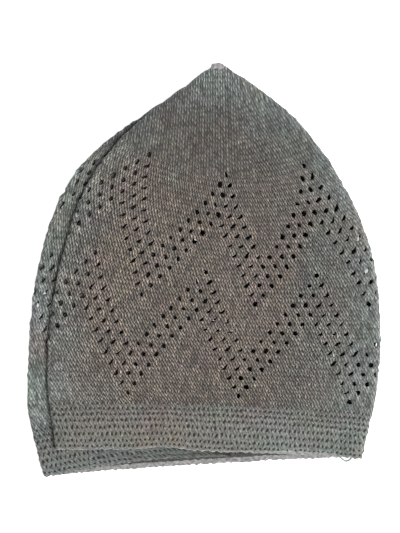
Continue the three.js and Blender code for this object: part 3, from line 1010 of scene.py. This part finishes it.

# %% [markdown]
# Above the zigzags the machine drops stitches. There the columns are counted straight across the
# cap instead of round it, which keeps them a stitch wide to the tip, and each reads as an upright
# row of dashes. The yarn is painted paler at the left and darker at the right, as painted light and
# painted shade, and it is paler on the tip. Near the cap's curved edges painted light fills the gaps,
# and the reverse of the fabric is painted in shade.

# %% Cotton jersey
TOP_COURSE = 0.745      # where the columns start to be counted straight across
TOP_WALE_MM = 1.36
TOP_FAN = 0.0035        # how much closer the columns come, for each mm up
TOP_LEVEL = 65          # mm up the cap where they are a whole stitch wide
TIP_X = 7               # mm across, where the tip stands
TOP_RIGHT = (0.012, 0.03)       # metres to the right over which the Vs show again
RAGGED = 0.1            # how uneven the line is where the columns change
EDGE_PAINTED_LIGHT = 0.32        # how pale the gaps are at the cap's edges: painted light on the curved folds
EDGE_PAINTED_LIGHT_FROM = 0.72   # distance from the cap's middle where that starts

# Matt grey cotton in fine slanting strokes, so the eye sees a soft knit of tightly twisted yarn
jersey, tree = new_material("melange cotton jersey")
place, steps, course, wobble, outside = knit_map(tree)
spot_x = add_node(tree, "ShaderNodeSeparateXYZ", [place], "X")
spot_y = add_node(tree, "ShaderNodeSeparateXYZ", [place], "Y")
fan = add_node(tree, MATH, [spot_y, TOP_FAN / MM, 1 - TOP_FAN * TOP_LEVEL], operation="MULTIPLY_ADD")
across_mm = [spot_x, 1 / MM / TOP_WALE_MM, -TIP_X / TOP_WALE_MM]
from_tip = add_node(tree, MATH, across_mm, operation="MULTIPLY_ADD")
top_wales = add_node(tree, MATH, [from_tip, fan], operation="MULTIPLY")
side_wales = add_node(tree, MATH, [steps, 2.0], operation="MULTIPLY")
ragged = add_node(tree, MATH, [wobble, RAGGED, course], operation="MULTIPLY_ADD")
in_top = add_node(tree, MATH, [ragged, TOP_COURSE], operation="GREATER_THAN")
wales = add_node(tree, "ShaderNodeMix", {"Factor": in_top, "A": side_wales, "B": top_wales}, "Result")
straight = add_node(tree, RANGE, {
    "Value": spot_x, "From Min": TOP_RIGHT[1], "From Max": TOP_RIGHT[0]})
straight = add_node(tree, MATH, [straight, in_top], operation="MULTIPLY")
height, leg = stitch_legs(tree, wales, course, wobble, straight)
away = middle_distance(tree, place)
# Painted light: the gaps between stitches are filled paler near the cap's edges
painted_edge_light = add_node(tree, RANGE, {"Value": away, "From Min": EDGE_PAINTED_LIGHT_FROM, "To Max": EDGE_PAINTED_LIGHT})
bent = add_node(tree, MATH, [1.0, straight], operation="SUBTRACT")
painted_edge_light = add_node(tree, MATH, [painted_edge_light, bent], operation="MULTIPLY")
height = add_node(tree, RANGE, {"Value": height, "To Min": painted_edge_light})
print("the columns at the top are", TOP_WALE_MM, "mm wide")

# %% Light and shade on the jersey
DYE = (1.0, 0.5)        # how much one stitch's shade differs from the next, and the darkest
FADE_COURSES = 0.03     # courses above the band where its last dents fade
FADE_DENTS = 0.75       # how strong they are at the band
REVERSE_PAINTED_SHADE = 0.6           # how pale the reverse is beside the face: painted shade, as it lies inside the folded cap
LUMP_PAINTED_LIGHT = 1.7        # how much paler a lump is: a painted highlight on its raised top
SIDE_PAINTED_LIGHT = (1.08, 0.74)    # how pale the yarn is at the left and at the right: painted light at the left and painted shade at the right
SIDE_PAINTED_LIGHT_X = (-0.08, 0.085)        # metres across, where those are
TOP_SOFT = (0.03, 0.02)         # courses below and above TOP_COURSE over which the yarn gets darker
TOP_DIM = 0.82          # how pale it is above that
TOP_LIGHT = 0.7         # how pale it is where the columns read as dashes
TIP_COURSE = 0.9        # where the yarn starts to look paler towards the tip
TIP_LIGHT = 2.1         # how much paler it is at the tip
JERSEY_LIGHT = 0.93     # how pale the jersey is as a whole
JERSEY_BUMP = 0.9

dye = add_node(tree, "ShaderNodeTexWhiteNoise", {"Vector": leg}, "Value", noise_dimensions="2D")
dye = add_node(tree, MATH, [dye, *DYE], operation="MULTIPLY_ADD")
shade = add_node(tree, MATH, [yarn_grain(tree, place), dye], operation="MULTIPLY")
fade = add_node(tree, RANGE, {
    "Value": course, "From Min": BAND_TOP, "From Max": BAND_TOP + FADE_COURSES,
    "To Min": FADE_DENTS, "To Max": 0.0})
dents_left = add_node(tree, MATH, [dark_dents(tree, steps, course, wobble), fade], operation="MULTIPLY")
undented = add_node(tree, MATH, [1.0, dents_left], operation="SUBTRACT")
# Painted shade: the reverse, inside the folded cap, is darker
side = add_node(tree, RANGE, {
    "Value": outside, "To Min": REVERSE_PAINTED_SHADE * JERSEY_LIGHT, "To Max": JERSEY_LIGHT})
lump = add_node(tree, "ShaderNodeAttribute", out="Fac", attribute_name="lump")
# Painted highlight on the raised lumps beside the eyelets
painted_lump_light = add_node(tree, RANGE, {"Value": lump, "To Min": 1.0, "To Max": LUMP_PAINTED_LIGHT})
# Painted light and shade across the cap: paler at the left, darker at the right
painted_side_light = add_node(tree, RANGE, {
    "Value": spot_x, "From Min": SIDE_PAINTED_LIGHT_X[0], "From Max": SIDE_PAINTED_LIGHT_X[1],
    "To Min": SIDE_PAINTED_LIGHT[0], "To Max": SIDE_PAINTED_LIGHT[1]})
top_light = add_node(tree, RANGE, {
    "Value": course, "From Min": TOP_COURSE - TOP_SOFT[0], "From Max": TOP_COURSE + TOP_SOFT[1],
    "To Min": 1.0, "To Max": TOP_DIM})
ribbed = add_node(tree, RANGE, {"Value": straight, "To Min": 1.0, "To Max": TOP_LIGHT / TOP_DIM})
tip_light = add_node(tree, RANGE, {
    "Value": course, "From Min": TIP_COURSE, "To Min": 1.0, "To Max": TIP_LIGHT})
light = height
for factor in (shade, undented, side, painted_lump_light, painted_side_light, top_light, ribbed, tip_light):
    light = add_node(tree, MATH, [light, factor], operation="MULTIPLY")
finish_knit(tree, mottle_and_painted_light_tint(tree, place, away), light, height, JERSEY_BUMP)
crown.data.materials.append(jersey)
print(jersey.name, "has", len(tree.nodes), "nodes")

# %% [markdown]
# The band's tuck stitch is a net of pale yarn round dark dents, with the fine legs of the stitches
# running across the net, all of nearly one tint. The hem is turned in on the inside, where the
# yarn lies smooth and pale, and a little of it rolls round the rim to the outside, most at the
# right. Deep in the pleat the yarn is painted darker and cooler, as painted shade under the front
# layer.

# %% Tuck-stitch band
HEM_HEIGHT = 0.9                # how high it stands, with no gaps
HEM_ROLL = (0.004, 0.0135)      # courses of hem that show outside, at the left and at the right
HEM_STEPS = (14.0, 27.0)        # steps over which that roll widens
HEM_END = (35.0, 39.0)          # and over which it gets narrow again
HEM_COURSE = 0.017              # courses of hem inside
PLEAT = (-37.8, 24.9)           # middle and half width of the pleat in steps; it shows no hem
DENT_DARK = (0.95, 0.9)         # how dark the dents are, low and at the band's top
LEG_GAPS = (0.6, 0.25)          # how pale the gaps between its stitches are, low and at the top
LEG_PALE = 1.25                 # how pale the legs are
BAND_LOW = 0.45                 # share of the band's height that counts as low

# The same cotton in a net round dark dents, so the eye sees a thicker, springy edge
tuck, tree = new_material("melange cotton tuck stitch")
place, steps, course, wobble, outside = knit_map(tree)
wales = add_node(tree, MATH, [steps, 2.0], operation="MULTIPLY")
legs, leg = stitch_legs(tree, wales, course, wobble, 0.0)
upper = {"Value": course, "From Min": BAND_TOP * BAND_LOW, "From Max": BAND_TOP}
gap = add_node(tree, RANGE, {**upper, "To Min": LEG_GAPS[0], "To Max": LEG_GAPS[1]})
legs = add_node(tree, RANGE, {"Value": legs, "To Min": gap, "To Max": LEG_PALE})
dark = add_node(tree, RANGE, {**upper, "To Min": -DENT_DARK[0], "To Max": -DENT_DARK[1]})
net = add_node(tree, MATH, [dark_dents(tree, steps, course, wobble), dark, 1.0], operation="MULTIPLY_ADD")
net = add_node(tree, MATH, [net, legs], operation="MULTIPLY")
roll = add_node(tree, RANGE, {
    "Value": steps, "From Min": HEM_STEPS[0], "From Max": HEM_STEPS[1],
    "To Min": HEM_ROLL[0], "To Max": HEM_ROLL[1]})
roll_end = add_node(tree, RANGE, {
    "Value": steps, "From Min": HEM_END[0], "From Max": HEM_END[1],
    "To Min": HEM_ROLL[1], "To Max": HEM_ROLL[0]})
roll = add_node(tree, MATH, [roll, roll_end], operation="MINIMUM")
pleat = add_node(tree, MATH, [steps, PLEAT[0], PLEAT[1]], operation="COMPARE")
unpleated = add_node(tree, MATH, [1.0, pleat], operation="SUBTRACT")
hem_top = add_node(tree, RANGE, {"Value": outside, "To Min": HEM_COURSE, "To Max": roll})
hem_top = add_node(tree, MATH, [hem_top, unpleated], operation="MULTIPLY")
knitted = add_node(tree, MATH, [course, hem_top], operation="GREATER_THAN")
height = add_node(tree, "ShaderNodeMix", {"Factor": knitted, "A": HEM_HEIGHT, "B": net}, "Result")
print("the hem shows for", round(HEM_ROLL[1] / BAND_TOP * BAND_MM, 1), "mm at the right")

# %% Tint and light of the band
HEM_PALE = "#8c8c8a"
HEM_LIGHT = 0.66                # how pale the hem's yarn is as a whole
BAND_LIGHT = 0.61               # how pale the band's yarn is as a whole
BAND_REVERSE_PAINTED_SHADE = 0.3              # how pale the reverse above the hem is: painted shade inside the cap
BAND_AWAY = (0.15, 0.71)        # the band has nearly one tint, as if this far from the middle
DEEPEST_PLEAT_SHADE_STEP = -36                     # the step deepest in the pleat, where the painted shade is darkest
PLEAT_SHADE_REACH = 26                # steps from there to yarn as pale as elsewhere
PLEAT_SHADE_LIGHT = 0.55              # how pale the painted shade leaves it there
PLEAT_SHADE_COOL = 0.45               # how much further from the middle its tint seems: painted cool shade
TUCK_BUMP = 0.5

away = add_node(tree, MATH, [middle_distance(tree, place), *BAND_AWAY], operation="MULTIPLY_ADD")
# Painted shade deep in the pleat, darker and cooler towards its deepest step
from_valley = add_node(tree, MATH, [steps, -DEEPEST_PLEAT_SHADE_STEP], operation="ADD")
from_valley = add_node(tree, MATH, [from_valley], operation="ABSOLUTE")
painted_cool_shade = add_node(tree, RANGE, {
    "Value": from_valley, "From Max": PLEAT_SHADE_REACH, "To Min": PLEAT_SHADE_COOL, "To Max": 0.0})
away = add_node(tree, MATH, [away, painted_cool_shade], operation="ADD")
melange = mottle_and_painted_light_tint(tree, place, away)
tint = add_node(tree, "ShaderNodeMix", {
    "Factor": knitted, "A": linear(HEM_PALE), "B": melange}, "Result", data_type="RGBA")
# Painted shade on the band's reverse above the hem
side = add_node(tree, RANGE, {
    "Value": outside, "To Min": BAND_LIGHT * BAND_REVERSE_PAINTED_SHADE, "To Max": BAND_LIGHT})
level = add_node(tree, "ShaderNodeMix", {"Factor": knitted, "A": HEM_LIGHT, "B": side}, "Result")
painted_pleat_shade = add_node(tree, RANGE, {"Value": from_valley, "From Max": PLEAT_SHADE_REACH, "To Min": PLEAT_SHADE_LIGHT})
light = height
for factor in (yarn_grain(tree, place), level, painted_pleat_shade):
    light = add_node(tree, MATH, [light, factor], operation="MULTIPLY")
finish_knit(tree, tint, light, height, TUCK_BUMP)
band.data.materials.append(tuck)
print(tuck.name, "has", len(tree.nodes), "nodes")

# %% [markdown]
# The gathering thread at the tip and the loose loop are the same yarn before it is knitted: a
# smooth pale strand whose fibres show as fine soft lines. The single strand of the loop lets more
# light through, so it is a little paler and cooler than the knot.

# %% Loose cotton yarn
# Smooth spun cotton, so the eye sees a thread and not knitting
STRANDS = [dict(name="gathered cotton thread", colour="#817f80", piece=knot),
           dict(name="loose cotton yarn", colour="#848e8a", piece=loop)]
# Real fibres are 0.02 mm wide, too fine to show, so the lines are drawn 1.1 mm apart.
STRAND_LINES = 900.0            # lines a metre
STRAND_STRETCH = (1.0, 0.3, 1.0)        # draws them out up the cap
STRAND_NOISE = (0.3, 0.7)       # how the noise is stretched
STRAND_SHADES = (0.55, 1.15)    # how pale the strand is between its lines and on them
STRAND_BUMP = 0.3

for row in STRANDS:
    strand, tree = new_material(row["name"])
    place = add_node(tree, "ShaderNodeTexCoord", out="Object")
    drawn = add_node(tree, "ShaderNodeVectorMath", [place, STRAND_STRETCH], operation="MULTIPLY")
    lines = add_node(tree, "ShaderNodeTexNoise", {"Vector": drawn, "Scale": STRAND_LINES, "Detail": 2.0})
    light = add_node(tree, RANGE, {
        "Value": lines, "From Min": STRAND_NOISE[0], "From Max": STRAND_NOISE[1],
        "To Min": STRAND_SHADES[0], "To Max": STRAND_SHADES[1]})
    finish_knit(tree, linear(row["colour"]), light, lines, STRAND_BUMP)
    row["piece"].data.materials.append(strand)
    print(strand.name, "on", row["piece"].name)

# %% [markdown]
# The photograph looks straight down, so the camera hangs above with a long lens. Light comes
# from one soft panel at the right, a little on the rim's side, which leaves the crease at the
# left in shade, and from an even pale room. The table is white acrylic lit faintly from below, as
# product photographers use, so the cap casts hardly any shadow on it.

# %% Camera
IMAGE_HEIGHT = 533              # pixels
PIXEL_MM = 0.5
VIEW_CENTRE = (-1.75, 1.75)     # mm
CAMERA_HEIGHT = 1.3             # metres above the level where a pixel is PIXEL_MM wide
SCALE_LEVEL = 0.006             # that level, metres above the table
SENSOR = 36                     # mm

camera_data = bpy.data.cameras.new("camera")
camera_data.sensor_width = SENSOR
camera_data.lens = SENSOR * CAMERA_HEIGHT / (IMAGE_HEIGHT * PIXEL_MM * MM)
camera = bpy.data.objects.new("camera", camera_data)
camera.location = (VIEW_CENTRE[0] * MM, VIEW_CENTRE[1] * MM, CAMERA_HEIGHT + SCALE_LEVEL)
bpy.context.scene.collection.objects.link(camera)
bpy.context.scene.camera = camera
print("lens:", round(camera_data.lens), "mm")

# %% Floor
FLOOR_REACH = 3.0       # metres from its middle to each side
FLOOR_WHITE = "#fbfbfb"
FLOOR_ROUGHNESS = 0.9
GLOW_WHITE = "#ffffff"
FLOOR_GLOW = 0.6

floor_bm = bmesh.new()
bmesh.ops.create_grid(floor_bm, x_segments=1, y_segments=1, size=FLOOR_REACH)
floor = make_object(floor_bm, "floor")
# Matt and glowing a little, so the eye sees an even white ground
acrylic, tree = new_material("lit white acrylic")
surface = add_node(tree, "ShaderNodeBsdfPrincipled", {
    "Base Color": linear(FLOOR_WHITE), "Roughness": FLOOR_ROUGHNESS,
    "Emission Color": linear(GLOW_WHITE), "Emission Strength": FLOOR_GLOW})
add_node(tree, "ShaderNodeOutputMaterial", {"Surface": surface})
floor.data.materials.append(acrylic)
print("floor:", round(floor.dimensions.x, 1), "m wide")

# %% Light
PANEL_SIZE = 0.75       # metres
PANEL_POWER = 38        # watts
PANEL_PLACE = (0.68, -0.33, 1.3)        # metres
ROOM_LIGHT = 0.6

panel_data = bpy.data.lights.new("soft_panel", "AREA")
panel_data.shape = "RECTANGLE"
panel_data.size = PANEL_SIZE
panel_data.size_y = PANEL_SIZE
panel_data.energy = PANEL_POWER
panel = bpy.data.objects.new("soft_panel", panel_data)
panel.location = PANEL_PLACE
panel.rotation_mode = "QUATERNION"
panel.rotation_quaternion = (-panel.location).to_track_quat("-Z", "Y")
bpy.context.scene.collection.objects.link(panel)

room = bpy.data.worlds.new("pale_room")
room.use_nodes = True
room.node_tree.nodes["Background"].inputs["Color"].default_value = (1, 1, 1, 1)
room.node_tree.nodes["Background"].inputs["Strength"].default_value = ROOM_LIGHT
bpy.context.scene.world = room
bpy.context.scene.view_settings.view_transform = "Standard"
print("panel:", round(panel.location.length, 2), "m from the cap")
